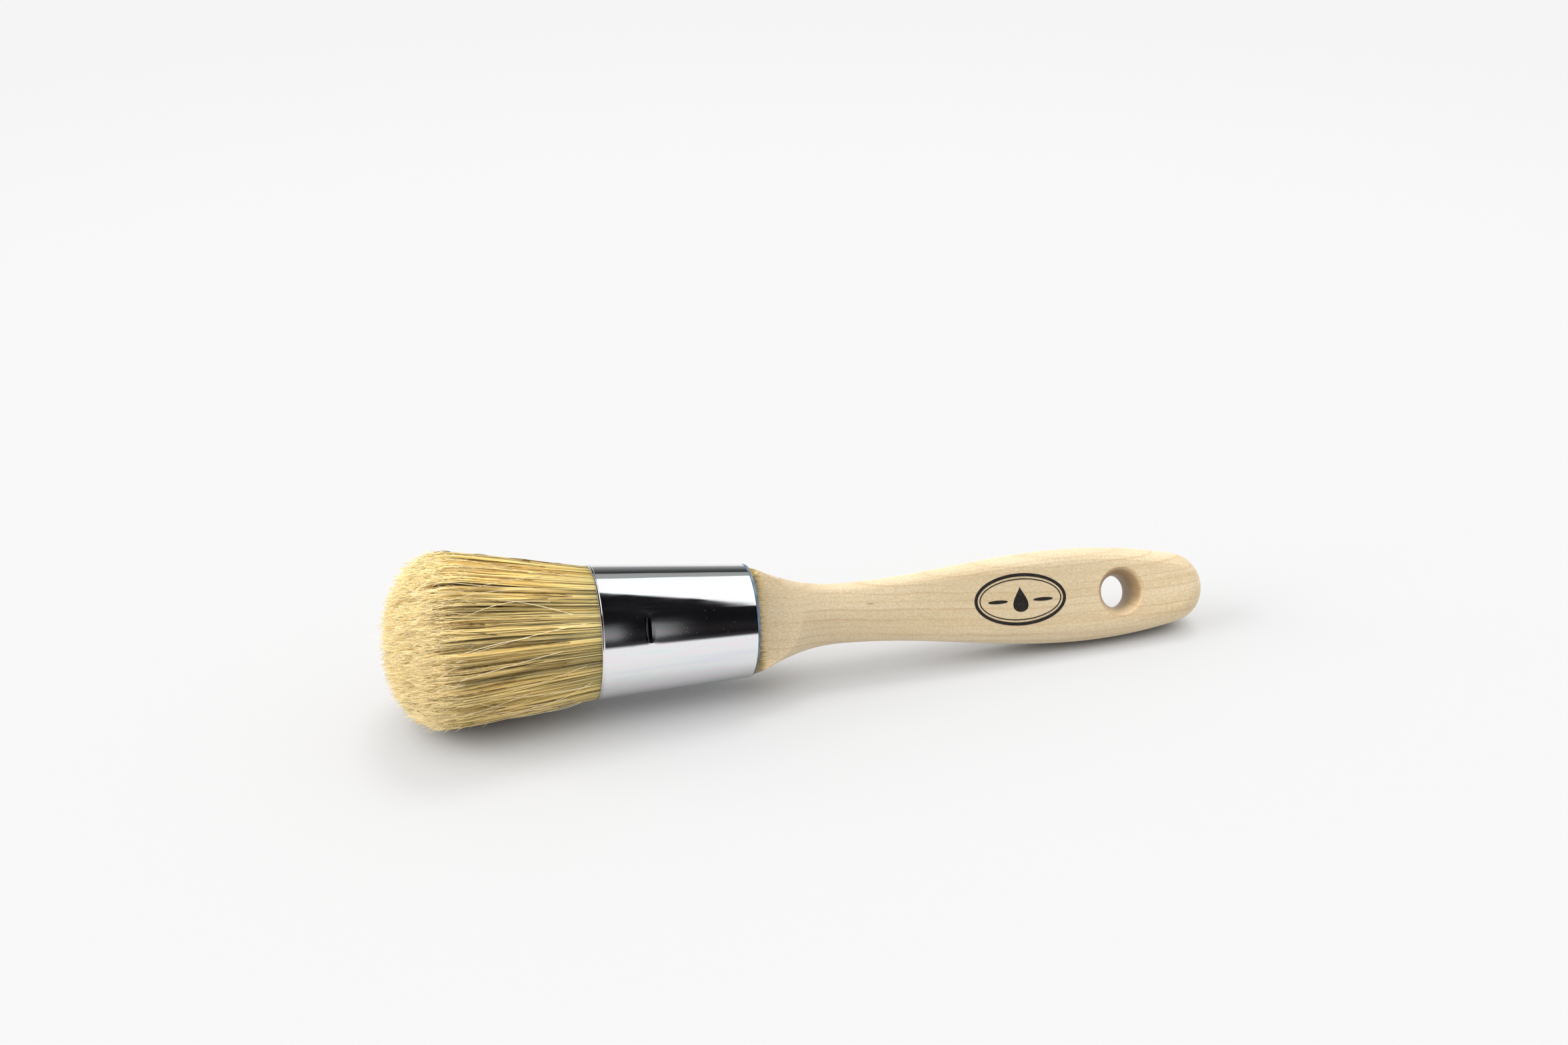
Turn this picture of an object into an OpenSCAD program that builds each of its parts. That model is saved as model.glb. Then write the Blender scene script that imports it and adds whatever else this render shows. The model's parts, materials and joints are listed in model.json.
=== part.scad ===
// Round stencil brush: a domed bristle head in a tapered metal ferrule, on a flat wooden paddle handle.
// The brush axis is local X, from the ferrule mouth (x = 0) to the tail. Local Y is the handle's
// thickness, local Z its width. resting() then lays the brush on its bristles and its lower edge.

/* [Bristle head] */
// Length of bristle in front of the ferrule mouth
bristle_len = 59; // [45:0.5:75]
// Widest diameter of the bristle head
belly_d = 54; // [46:1:62]
// Distance of the widest point from the ferrule mouth
belly_x = 41; // [30:1:44]
// Depth that the bristles reach into the ferrule before the resin
root_depth = 6; // [3:0.5:9]
// Squareness of the dome: 2 is an ellipse, more is blunter
dome_power = 2.3; // [2:0.1:3]

/* [Ferrule] */
// Outside diameter at the mouth, where the bristles leave
mouth_d = 40; // [34:1:44]
// Outside diameter at the rear, round the handle
rear_d = 34; // [28:1:36]
// Length of the ferrule
ferrule_len = 46.5; // [40:0.5:56]
// Thickness of the ferrule's sheet metal
sheet_t = 0.5; // [0.4:0.05:0.8]
// Diameter of the rounded bead at the mouth
lip_d = 1.0; // [0.8:0.1:1.4]
// Distance of the two stake crimps from the mouth
crimp_x = 14.6; // [11:0.2:17]
// Depth of a crimp
crimp_depth = 0.4; // [0.2:0.05:0.6]
// Radius of the tool that presses a crimp
crimp_tool_r = 2.5; // [1.5:0.1:4]

/* [Inside the ferrule] */
// Length of the resin plug that holds the bristle roots
resin_len = 14; // [11:0.5:16]
// Clearance round the handle's tenon, filled with adhesive
glue_gap = 0.3; // [0.2:0.05:0.5]
// How far the adhesive bead stands out behind the ferrule
bead_len = 0.9; // [0.5:0.1:1.5]
// Slant of the bead in degrees: it stands out further along the handle's upper edge
bead_slant = 1.2; // [0:0.1:1.5]

/* [Handle] */
// Length of handle that shows behind the ferrule
handle_len = 148; // [130:0.1:170]
// Width of the handle at the ferrule
shoulder_w = 32.2; // [26:0.2:33]
// Width at the neck, the narrowest point
neck_w = 18; // [14:0.5:22]
// Distance of the neck from the ferrule mouth
neck_x = 76; // [70:1:84]
// Widest width of the paddle
paddle_w = 29; // [26:0.2:34]
// Distance of the paddle's widest point from the ferrule mouth
paddle_x = 150; // [140:1:155]
// Radius of the outline's long curve from the widest point to the tail
tail_sweep_r = 170; // [150:5:220]
// Thickness of the paddle
paddle_t = 15; // [12:0.5:18]
// Thickness of the flat shoulder behind the ferrule
shoulder_t = 22; // [19:0.5:24]
// Distance from the ferrule mouth at which the shoulder's flat ends
shoulder_x = 61.5; // [58:0.5:64]
// Radius of the rounded long edges at the neck
neck_edge_r = 2.5; // [2:0.5:4]
// Radius of the rounded long edges along the paddle
paddle_edge_r = 5; // [3:0.5:6]
// Radius of the crown across the face at the neck
crown_r = 20; // [16:1:40]

/* [Hanging hole] */
// Distance of the hole from the ferrule mouth
hole_x = 165.6; // [160:0.1:172]
// Diameter of the hole at its narrowest
hole_d = 10; // [6:0.5:12]
// Diameter of the hole at the two faces
hole_mouth_d = 15.2; // [12:0.2:16]
// Length of the straight part in the middle of the hole
hole_land = 2.4; // [1:0.2:4]

/* [Printed mark] */
// Distance of the mark's centre from the ferrule mouth
mark_x = 132; // [124:1:138]
// Length of the mark along the handle
mark_len = 30; // [20:1:34]
// Height of the mark across the handle
mark_h = 16; // [10:0.5:17]
// Thickness of the ink
ink_t = 0.06; // [0.05:0.01:0.1]

/* [Resting pose] */
// How far the printed face leans back from upright
rest_roll = 29; // [0:1:45]

/* [Hidden] */
$fn = 96;
EPS = 0.01;

belly_r = belly_d / 2;
mouth_r = mouth_d / 2;
rear_r = rear_d / 2;
taper = (mouth_r - rear_r) / ferrule_len;
root_r = mouth_r - sheet_t - lip_d / 2;
resin_x = root_depth;
tenon_x = resin_x + resin_len;
tenon_r = rear_r - sheet_t - glue_gap;
tail_x = ferrule_len + handle_len;
half_t = paddle_t / 2;
half_shoulder_t = shoulder_t / 2;

// The tail's end arc touches the long outline curve from inside and ends at tail_x.
sweep_drop = tail_sweep_r - paddle_w / 2;
tail_reach = tail_x - paddle_x;
tail_r = (pow(tail_sweep_r, 2) - pow(sweep_drop, 2) - pow(tail_reach, 2)) / (2 * (tail_sweep_r - tail_reach));
tail_centre_x = tail_x - tail_r;
tail_angle = atan2(tail_centre_x - paddle_x, sweep_drop);

// Concave arc of the outline from the ferrule to the neck.
flare_run = neck_x - ferrule_len;
flare_rise = (shoulder_w - neck_w) / 2;
flare_r = (pow(flare_run, 2) + pow(flare_rise, 2)) / (2 * flare_rise);

// Side profile: a straight slope through the shoulder's end, then a cove down to the paddle.
cove_run = 13.5;
cove_drop = half_shoulder_t - half_t;
cove_angle = 2 * atan(cove_drop / cove_run);
cove_r = cove_run / sin(cove_angle);
crown_end_x = 120;
edge_change_x = [80, 135];
turned_run = 6;

// Lowest reach of the rolled paddle below the axis, which sets the tilt at rest.
paddle_drop =
    (paddle_w / 2 - paddle_edge_r) * cos(rest_roll) + (half_t - paddle_edge_r) * sin(rest_roll) + paddle_edge_r;
rest_tilt = atan((belly_r - paddle_drop) / (paddle_x + belly_x));
rest_height = belly_r * cos(rest_tilt) - belly_x * sin(rest_tilt);
rest_shift = -(tail_x * cos(rest_tilt) - bristle_len * cos(rest_tilt)) / 2;

// Number of steps along each stretch of the handle and round its section.
FLARE_STEPS = 30;
BLADE_STEPS = 18;
SWEEP_STEPS = 9;
TAIL_STEPS = 9;
TAIL_END_ANGLE = 84;
EDGE_STEPS = 6;
FACE_STEPS = 8;

function ease(t) = (1 - cos(180 * min(max(t, 0), 1))) / 2;

function ferrule_radius(x) = mouth_r - taper * x;

function half_width(x) =
    x < neck_x ? neck_w / 2 + flare_r - sqrt(pow(flare_r, 2) - pow(neck_x - x, 2))
    : x < paddle_x ? neck_w / 2 + (paddle_w - neck_w) / 2 * ease((x - neck_x) / (paddle_x - neck_x))
    : x < tail_centre_x + tail_r * sin(tail_angle)
    ? paddle_w / 2 - tail_sweep_r + sqrt(pow(tail_sweep_r, 2) - pow(x - paddle_x, 2))
    : sqrt(max(pow(tail_r, 2) - pow(x - tail_centre_x, 2), 0));

function cove_height(run) =
    run > cove_run * 2 ? 0
    : run > cove_run ? cove_drop + (run - cove_run) * tan(cove_angle)
    : run > 0 ? cove_r - sqrt(pow(cove_r, 2) - pow(run, 2))
    : 0;

function half_height(x) = half_t + cove_height(min(shoulder_x + cove_run - x, cove_run * 2));

function crown(x, w) = pow(w, 2) / (2 * crown_r) * (1 - ease((x - shoulder_x) / (crown_end_x - shoulder_x)));

// The long edges are rounded more and more from the neck to the paddle.
function edge_radius(x) =
    neck_edge_r
    + (paddle_edge_r - neck_edge_r) * ease((x - edge_change_x[0]) / (edge_change_x[1] - edge_change_x[0]));

// Distance from the outline, measured inwards.
function inset(x, w) =
    x > tail_centre_x ? tail_r - norm([x - tail_centre_x, w]) : half_width(x) - abs(w);

// The corners of the shoulder are turned down to the ferrule's rear edge, and run out behind it.
function turned_radius(x) = rear_r - 0.4 + (mouth_r - rear_r) * (x - ferrule_len) / turned_run;

function turned_height(x, w) =
    x < ferrule_len + turned_run ? sqrt(pow(turned_radius(x), 2) - pow(w, 2)) : half_shoulder_t * 2;

function surface_height(x, w) = let (r = edge_radius(x)) min(
    half_height(x) - crown(x, w) - r + sqrt(pow(r, 2) - pow(min(max(r - inset(x, w), 0), r), 2)),
    turned_height(x, w)
);

// Places across a section, from one edge to the other: close together on the rounded edges.
function across(a, r) = let (e = min(r, a * 0.6)) concat(
    [for (i = [0:EDGE_STEPS]) a - e * (1 - cos(90 * i / EDGE_STEPS))],
    [for (i = [1:FACE_STEPS - 1]) (a - e) * (1 - 2 * i / FACE_STEPS)],
    [for (i = [EDGE_STEPS:-1:0]) e * (1 - cos(90 * i / EDGE_STEPS)) - a]
);

function section(x) = let (w = across(half_width(x), edge_radius(x)), n = len(w)) concat(
    [for (v = w) [x, -surface_height(x, v), v]],
    [for (i = [n - 1:-1:0]) [x, surface_height(x, w[i]), w[i]]]
);

stations = concat(
    [for (i = [0:FLARE_STEPS - 1]) ferrule_len + flare_run * i / FLARE_STEPS],
    [for (i = [0:BLADE_STEPS - 1]) neck_x + (paddle_x - neck_x) * i / BLADE_STEPS],
    [for (i = [0:SWEEP_STEPS - 1]) paddle_x + (tail_centre_x - paddle_x) * i / SWEEP_STEPS],
    [for (i = [0:TAIL_STEPS]) tail_centre_x + tail_r * sin(TAIL_END_ANGLE * i / TAIL_STEPS)]
);

// Closed skin through the sections, which all have the same number of points.
module loft(rings) {
    m = len(rings[0]);
    last = len(rings) - 1;
    polyhedron(
        points = [for (ring = rings) each ring],
        faces = concat(
            [[for (j = [0:m - 1]) j]],
            [for (i = [0:last - 1], j = [0:m - 1]) [i * m + j, (i + 1) * m + j, (i + 1) * m + (j + 1) % m]],
            [for (i = [0:last - 1], j = [0:m - 1]) [i * m + j, (i + 1) * m + (j + 1) % m, i * m + (j + 1) % m]],
            [[for (j = [m - 1:-1:0]) last * m + j]]
        ),
        convexity = 4
    );
}

// Turns a lathe profile of [radius, x] points about the brush axis.
module lathe(points) {
    rotate([0, 90, 0])
        rotate_extrude()
            polygon([for (p = points) [p[0], p[1]]]);
}

module resting() {
    translate([rest_shift, 0, rest_height])
        rotate([0, rest_tilt, 0])
            rotate([-rest_roll, 0, 0])
                children();
}

// The two crimp tools: bars across the ferrule, front and back.
module crimp_tools(grow) {
    for (side = [-1, 1])
        translate([crimp_x, side * (ferrule_radius(crimp_x) - crimp_depth + crimp_tool_r), 0])
            cylinder(h = mouth_d, r = crimp_tool_r + grow, center = true);
}

// The room inside the ferrule between two places, left by a wall of the given thickness.
module ferrule_inside(from_x, to_x, wall = sheet_t) {
    lathe([
        [0, from_x],
        [ferrule_radius(from_x) - wall, from_x],
        [ferrule_radius(to_x) - wall, to_x],
        [0, to_x]
    ]);
}

// The round end of the handle that goes into the ferrule, flat on two sides like the shoulder.
module tenon(from_x, to_x) {
    intersection() {
        translate([from_x, 0, 0])
            rotate([0, 90, 0])
                cylinder(h = to_x - from_x, r = tenon_r);
        translate([from_x, -half_shoulder_t, -rear_r])
            cube([to_x - from_x, shoulder_t, rear_d]);
    }
}

// The handle behind the ferrule: the shaped blade, cut from flat stock that shows at the shoulder.
module blade() {
    intersection() {
        loft([for (x = stations) section(x)]);
        translate([ferrule_len, -half_shoulder_t, -mouth_d])
            cube([handle_len + EPS, shoulder_t, mouth_d * 2]);
    }
}

module hanging_hole() {
    mouth_flare_r = (pow(half_t - hole_land / 2, 2) + pow((hole_mouth_d - hole_d) / 2, 2)) / (hole_mouth_d - hole_d);
    translate([hole_x, 0, 0])
        rotate([90, 0, 0]) {
            cylinder(h = paddle_t + 2, d = hole_d, center = true);
            for (side = [0, 1])
                mirror([0, 0, side])
                    translate([0, 0, hole_land / 2])
                        rotate_extrude()
                            difference() {
                                square([hole_mouth_d / 2, half_t - hole_land / 2 + EPS]);
                                translate([hole_d / 2 + mouth_flare_r, 0])
                                    circle(r = mouth_flare_r);
                            }
        }
}

// Mark outlines on the face: x along the handle, y across it.
function oval(length, height) = [for (i = [0:71]) [length / 2 * cos(i * 5), height / 2 * sin(i * 5)]];

module oval_line(length, height, line) {
    difference() {
        polygon(oval(length, height));
        polygon(oval(length - 2 * line, height - 2 * line));
    }
}

function drop_outline(r) = [for (t = [0:12:348]) [r * sin(t) * pow(sin(t / 2), 1.6) * 1.5, -r * 1.6 * cos(t + 180)]];

module bristle_bundle() {
    side_r = (pow(belly_x, 2) + pow(belly_r - mouth_r, 2)) / (2 * (belly_r - mouth_r));
    dome_len = bristle_len - belly_x;
    color("wheat")
        resting()
            lathe(concat(
                [[0, root_depth], [root_r, root_depth], [root_r, 0]],
                [for (i = [0:10]) let (x = belly_x * (0.02 + 0.98 * i / 10))
                    [belly_r - side_r + sqrt(pow(side_r, 2) - pow(belly_x - x, 2)), -x]],
                [for (i = [1:14]) let (t = sin(90 * i / 14))
                    [belly_r * pow(1 - pow(t, dome_power), 1 / dome_power), -belly_x - dome_len * t]]
            ));
}

module resin_plug() {
    color("saddlebrown")
        resting()
            difference() {
                ferrule_inside(resin_x, tenon_x);
                crimp_tools(sheet_t);
            }
}

module ferrule() {
    color("silver")
        resting()
            difference() {
                union() {
                    lathe([
                        [mouth_r - sheet_t, lip_d / 2],
                        [mouth_r, lip_d / 2],
                        [rear_r, ferrule_len],
                        [rear_r - sheet_t, ferrule_len]
                    ]);
                    rotate([0, 90, 0])
                        rotate_extrude()
                            translate([mouth_r - lip_d / 2 + 0.1, lip_d / 2])
                                circle(d = lip_d, $fn = 32);
                    intersection() {
                        ferrule_inside(resin_x + EPS, tenon_x, sheet_t / 2);
                        crimp_tools(sheet_t);
                    }
                }
                crimp_tools(0);
            }
}

// Bead of adhesive against the ferrule's rear edge, cut off square where it meets the metal.
module adhesive_bead() {
    intersection() {
        translate([ferrule_len, 0, 0])
            rotate([0, bead_slant, 0])
                lathe([
                    [0, -bead_len],
                    [rear_r - 0.1, -bead_len],
                    [rear_r - 0.05, bead_len * 0.5],
                    [rear_r - 0.35, bead_len],
                    [rear_r - 1.2, bead_len * 0.7],
                    [0, bead_len * 0.7]
                ]);
        translate([ferrule_len, -rear_r, -rear_r])
            cube([bead_len * 3, rear_d, rear_d]);
    }
}

module handle_adhesive() {
    color("slategray")
        resting()
            difference() {
                union() {
                    ferrule_inside(tenon_x, ferrule_len);
                    adhesive_bead();
                }
                tenon(tenon_x, ferrule_len);
                blade();
            }
}

module handle() {
    color("burlywood")
        resting()
            difference() {
                union() {
                    blade();
                    tenon(tenon_x, ferrule_len);
                }
                hanging_hole();
            }
}

module printed_mark() {
    color("black")
        resting()
            translate([mark_x, -half_t, 0])
                rotate([90, 0, 0])
                    linear_extrude(ink_t) {
                        oval_line(mark_len, mark_h, 1.0);
                        oval_line(mark_len - 3.2, mark_h - 3.2, 0.35);
                        polygon(drop_outline(2.4));
                        for (side = [-1, 1])
                            translate([side * 7.4, -0.4])
                                polygon(oval(6.4, 1.1));
                    }
}

bristle_bundle();
resin_plug();
ferrule();
handle_adhesive();
handle();
printed_mark();
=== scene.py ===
"""Looks of a round stencil brush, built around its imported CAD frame.

Blender objects are in metres, in the row frame. Sizes are given on the brush's own axes, in millimetres:
local x runs from the ferrule mouth to the tail, local y through the handle's thickness (the printed face is
at -y) and local z across its width.
"""

import json
import math

import bpy
import numpy as np
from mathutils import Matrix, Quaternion, Vector


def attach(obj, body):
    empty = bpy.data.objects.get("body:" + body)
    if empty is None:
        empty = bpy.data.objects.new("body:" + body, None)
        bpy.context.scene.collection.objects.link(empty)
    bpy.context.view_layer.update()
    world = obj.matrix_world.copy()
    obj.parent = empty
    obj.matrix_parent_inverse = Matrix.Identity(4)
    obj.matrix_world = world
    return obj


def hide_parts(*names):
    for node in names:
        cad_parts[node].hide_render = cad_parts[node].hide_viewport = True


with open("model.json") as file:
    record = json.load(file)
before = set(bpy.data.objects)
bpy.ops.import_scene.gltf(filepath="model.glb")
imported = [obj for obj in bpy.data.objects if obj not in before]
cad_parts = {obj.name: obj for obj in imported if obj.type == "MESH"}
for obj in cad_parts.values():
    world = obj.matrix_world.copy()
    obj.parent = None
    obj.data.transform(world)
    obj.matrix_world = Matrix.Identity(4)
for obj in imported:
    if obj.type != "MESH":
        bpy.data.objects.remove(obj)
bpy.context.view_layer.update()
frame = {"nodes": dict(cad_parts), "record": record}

MM = 0.001
rng = np.random.default_rng(20240611)

# ---------------------------------------------------------------- brush axes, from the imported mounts
mounts = {m["name"]: m for m in frame["record"]["mounts"]}
hole = mounts["hanging_hole"]
FACE_OUT = Vector(hole["axis"]).normalized()
ALONG = Vector((FACE_OUT.z, 0, -FACE_OUT.x)).normalized()
DEEPER = -FACE_OUT
WIDTH_UP = ALONG.cross(DEEPER)
HOLE_X = 165.6
MOUTH = Vector(hole["pos_m"]) - ALONG * HOLE_X * MM
LOCAL_AXES = np.array([ALONG, DEEPER, WIDTH_UP])

# ---------------------------------------------------------------- sizes of the brush, in millimetres
FERRULE_END = 46.5
CRIMP_X = 14.6
HALF_SHOULDER = 11.0
TURN_UP_X = 118.0
KNOT_X = 84.2
KNOT_Z = 2.2
KNOT_HALF_LENGTH = 1.9
KNOT_HALF_WIDTH = 0.36
HOLE_MOUTH_RADIUS = 7.6
# The head widens from the mouth to its belly, and ends in a dome. LIP_INSIDE is how deep the strands start.
MOUTH_RADIUS = 19.3
BELLY_RADIUS = 26.6
BELLY_AT = 40.0
DOME_LENGTH = 18.0
DOME_POWER = 2.3
LIP_INSIDE = 1.5
STRAND_RUN = LIP_INSIDE + BELLY_AT + DOME_LENGTH


def to_row(points):
    """Local points in millimetres, moved to the row frame in metres. The last axis holds x, y and z."""
    return points @ LOCAL_AXES * MM + np.array(MOUTH)


def srgb(r, g, b):
    """A display colour of 0 to 255 as linear values."""
    def linear(c):
        c = c / 255
        return c / 12.92 if c <= 0.04045 else ((c + 0.055) / 1.055) ** 2.4
    return (linear(r), linear(g), linear(b), 1.0)


# ---------------------------------------------------------------- camera
CAMERA_TURN = math.radians(14.78)
CAMERA_RISE = math.radians(27.5)
CAMERA_DISTANCE = 0.586
AIM = Vector((-0.0088, -0.0002, 0.0527))
LENS = 45.9
CAMERA_ROLL = math.radians(-0.25)


def make_camera():
    level = Vector((math.sin(CAMERA_TURN), math.cos(CAMERA_TURN), 0))
    look = level * math.cos(CAMERA_RISE) - Vector((0, 0, math.sin(CAMERA_RISE)))
    data = bpy.data.cameras.new("camera")
    data.lens = LENS
    data.sensor_width = 36
    data.clip_start = 0.01
    data.clip_end = 50
    camera = bpy.data.objects.new("camera", data)
    camera.location = AIM - look * CAMERA_DISTANCE
    camera.rotation_mode = "QUATERNION"
    camera.rotation_quaternion = look.to_track_quat("-Z", "Y") @ Quaternion((0, 0, 1), CAMERA_ROLL)
    bpy.context.scene.collection.objects.link(camera)
    bpy.context.scene.camera = camera


# ---------------------------------------------------------------- short calls for node trees
def feed(socket, value):
    """Gives a socket a value, or links another socket to it."""
    if isinstance(value, bpy.types.NodeSocket):
        socket.id_data.links.new(value, socket)
    else:
        socket.default_value = value


def calc(tree, operation, a, b=0.0):
    """One step of arithmetic. Steps that take one number ignore b."""
    n = tree.nodes.new("ShaderNodeMath")
    n.operation = operation
    feed(n.inputs[0], a)
    feed(n.inputs[1], b)
    return n.outputs[0]


def rescale(tree, value, low, high, to_low=0.0, to_high=1.0, smooth=False):
    """The value's run from low to high mapped onto another run, and held at its ends."""
    n = tree.nodes.new("ShaderNodeMapRange")
    n.interpolation_type = "SMOOTHSTEP" if smooth else "LINEAR"
    feed(n.inputs["Value"], value)
    feed(n.inputs["From Min"], low)
    feed(n.inputs["From Max"], high)
    feed(n.inputs["To Min"], to_low)
    feed(n.inputs["To Max"], to_high)
    return n.outputs["Result"]


def vector(tree, x, y, z):
    n = tree.nodes.new("ShaderNodeCombineXYZ")
    feed(n.inputs[0], x)
    feed(n.inputs[1], y)
    feed(n.inputs[2], z)
    return n.outputs[0]


def stretched(tree, at, sizes):
    """The vector divided by a size per axis, so that a noise of scale 1 has features of those sizes."""
    n = tree.nodes.new("ShaderNodeVectorMath")
    n.operation = "DIVIDE"
    feed(n.inputs[0], at)
    feed(n.inputs[1], sizes)
    return n.outputs[0]


def noise(tree, at, detail=2.0, roughness=0.5):
    n = tree.nodes.new("ShaderNodeTexNoise")
    n.inputs["Scale"].default_value = 1.0
    n.inputs["Detail"].default_value = detail
    n.inputs["Roughness"].default_value = roughness
    feed(n.inputs["Vector"], at)
    return n.outputs["Fac"]


def ramp(tree, value, stops):
    """A colour ramp through (place, colour) stops."""
    n = tree.nodes.new("ShaderNodeValToRGB")
    feed(n.inputs["Fac"], value)
    elements = n.color_ramp.elements
    while len(elements) < len(stops):
        elements.new(0.5)
    for element, (place, colour) in zip(elements, stops):
        element.position = place
        element.color = colour
    return n.outputs["Color"]


def blend(tree, amount, a, b):
    """Colour a turned into colour b by an amount from 0 to 1."""
    n = tree.nodes.new("ShaderNodeMix")
    n.data_type = "RGBA"
    n.clamp_factor = True
    feed(n.inputs["Factor"], amount)
    feed(n.inputs["A"], a)
    feed(n.inputs["B"], b)
    return n.outputs["Result"]


def brighten(tree, colour, factor):
    """The colour times a number that nodes give."""
    n = tree.nodes.new("ShaderNodeVectorMath")
    n.operation = "SCALE"
    feed(n.inputs[0], colour)
    feed(n.inputs["Scale"], factor)
    return n.outputs[0]


def bump(tree, height, distance, strength=1.0):
    n = tree.nodes.new("ShaderNodeBump")
    n.inputs["Strength"].default_value = strength
    n.inputs["Distance"].default_value = distance
    feed(n.inputs["Height"], height)
    return n.outputs["Normal"]


def brush_space(tree):
    """The shaded point on the brush's own axes, in millimetres, as x, y and z sockets."""
    at = tree.nodes.new("ShaderNodeTexCoord").outputs["Object"]
    shift = tree.nodes.new("ShaderNodeVectorMath")
    shift.operation = "SUBTRACT"
    feed(shift.inputs[0], at)
    feed(shift.inputs[1], MOUTH)
    parts = []
    for axis in (ALONG, DEEPER, WIDTH_UP):
        dot = tree.nodes.new("ShaderNodeVectorMath")
        dot.operation = "DOT_PRODUCT"
        feed(dot.inputs[0], shift.outputs[0])
        feed(dot.inputs[1], axis / MM)
        parts.append(dot.outputs["Value"])
    return parts


def new_material(name, **settings):
    """A Principled material with its plain settings, and its tree and shader."""
    material = bpy.data.materials.new(name)
    material.use_nodes = True
    shader = material.node_tree.nodes["Principled BSDF"]
    for key, value in settings.items():
        shader.inputs[key.replace("_", " ").title().replace("Ior", "IOR")].default_value = value
    return material, material.node_tree, shader


# ---------------------------------------------------------------- materials
def wood_material():
    """Pale close-grained hardwood: growth lines tilted through the stock, flecks, a stain of adhesive."""
    material, tree, shader = new_material(
        "bare_wood", specular_ior_level=0.5, sheen_weight=0.22, sheen_roughness=0.45,
        sheen_tint=(1.0, 1.0, 1.0, 1.0))
    x, y, z = brush_space(tree)
    # Growth lines fall slightly, turn up towards the tail, and lean into the thickness.
    fall = calc(tree, "MULTIPLY", x, 0.075)
    tail_run = calc(tree, "MAXIMUM", calc(tree, "SUBTRACT", x, TURN_UP_X), 0.0)
    turn_up = calc(tree, "MULTIPLY", calc(tree, "POWER", tail_run, 2.0), -0.0011)
    lean = calc(tree, "MULTIPLY", y, -0.35)
    ring = calc(tree, "ADD", calc(tree, "ADD", z, fall), calc(tree, "ADD", turn_up, lean))
    sway_at = vector(tree, calc(tree, "DIVIDE", x, 26.0), calc(tree, "DIVIDE", ring, 12.0), 0.0)
    sway = noise(tree, sway_at, 2.0)
    ring = calc(tree, "ADD", ring, calc(tree, "MULTIPLY", sway, 2.6))
    # Along the growth lines the patterns are stretched a long way.
    grain = vector(tree, x, y, ring)
    tone = noise(tree, stretched(tree, grain, (70.0, 60.0, 4.5)), 2.0, 0.55)
    years = calc(tree, "ADD", calc(tree, "DIVIDE", ring, 2.6), calc(
        tree, "MULTIPLY", noise(tree, stretched(tree, grain, (120.0, 90.0, 7.0)), 1.0), 1.6))
    season = calc(tree, "FRACT", years)
    line = calc(tree, "MULTIPLY", rescale(tree, season, 0.68, 0.93, 0.0, 1.0, True),
                rescale(tree, season, 0.93, 1.0, 1.0, 0.0))
    faint = noise(tree, stretched(tree, grain, (40.0, 20.0, 4.0)), 2.0)
    line = calc(tree, "MULTIPLY", line, rescale(tree, faint, 0.32, 0.66, 0.12, 1.0))
    fibre = noise(tree, stretched(tree, grain, (2.4, 0.3, 0.22)), 2.0, 0.6)
    fleck = noise(tree, stretched(tree, grain, (0.75, 0.38, 0.36)), 2.0, 0.7)
    pore = rescale(tree, noise(tree, stretched(tree, grain, (1.6, 0.25, 0.16)), 1.0), 0.64, 0.74, 0.0, 1.0)

    base = ramp(tree, tone, [
        (0.30, srgb(209, 186, 148)),
        (0.50, srgb(214, 193, 156)),
        (0.72, srgb(220, 200, 166)),
    ])
    base = blend(tree, calc(tree, "MULTIPLY", line, 0.55), base, srgb(188, 153, 109))
    base = brighten(tree, base, rescale(tree, fibre, 0.25, 0.75, 0.94, 1.05))
    base = brighten(tree, base, rescale(tree, fleck, 0.28, 0.72, 0.83, 1.11))
    base = blend(tree, calc(tree, "MULTIPLY", pore, 0.22), base, srgb(168, 136, 95))
    # Painted light: the colour is made paler towards the tail, for the brighter light that falls there.
    base = brighten(tree, base, rescale(tree, x, 140.0, 190.0, 1.0, 1.11, True))
    # The flat shoulder behind the ferrule is sawn, not sanded, so its grain is open.
    flat = rescale(tree, calc(tree, "ABSOLUTE", y), HALF_SHOULDER - 0.07, HALF_SHOULDER - 0.01)
    sawn = noise(tree, stretched(tree, grain, (1.1, 0.5, 0.42)), 3.0, 0.75)
    base = blend(tree, calc(tree, "MULTIPLY", flat, 0.2), base, srgb(232, 210, 172))
    base = blend(tree, flat, base, brighten(tree, base, rescale(tree, sawn, 0.3, 0.7, 0.80, 1.20)))
    # End grain in the hanging hole, browner and scorched a little by the drill, with painted shade added:
    # darker deeper in the hole, and less on the lower wall, which faces the light.
    from_hole = calc(tree, "SQRT", calc(
        tree, "ADD",
        calc(tree, "POWER", calc(tree, "SUBTRACT", x, HOLE_X), 2.0),
        calc(tree, "POWER", z, 2.0)))
    scorch_and_painted_shade = rescale(tree, from_hole, HOLE_MOUTH_RADIUS + 0.15, HOLE_MOUTH_RADIUS - 1.2, 0.0, 0.75, True)
    scorch_and_painted_shade = calc(tree, "MULTIPLY", scorch_and_painted_shade, rescale(tree, z, -6.0, -1.0, 0.3, 1.0, True))
    base = blend(tree, scorch_and_painted_shade, base, srgb(134, 102, 62))
    burr = calc(tree, "ABSOLUTE", calc(tree, "SUBTRACT", from_hole, HOLE_MOUTH_RADIUS - 0.1))
    burr = calc(tree, "ADD", burr, calc(tree, "MULTIPLY", calc(tree, "SUBTRACT", fleck, 0.5), 0.7))
    base = blend(tree, rescale(tree, burr, 0.08, 0.34, 0.5, 0.0, True), base, srgb(186, 142, 92))
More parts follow.
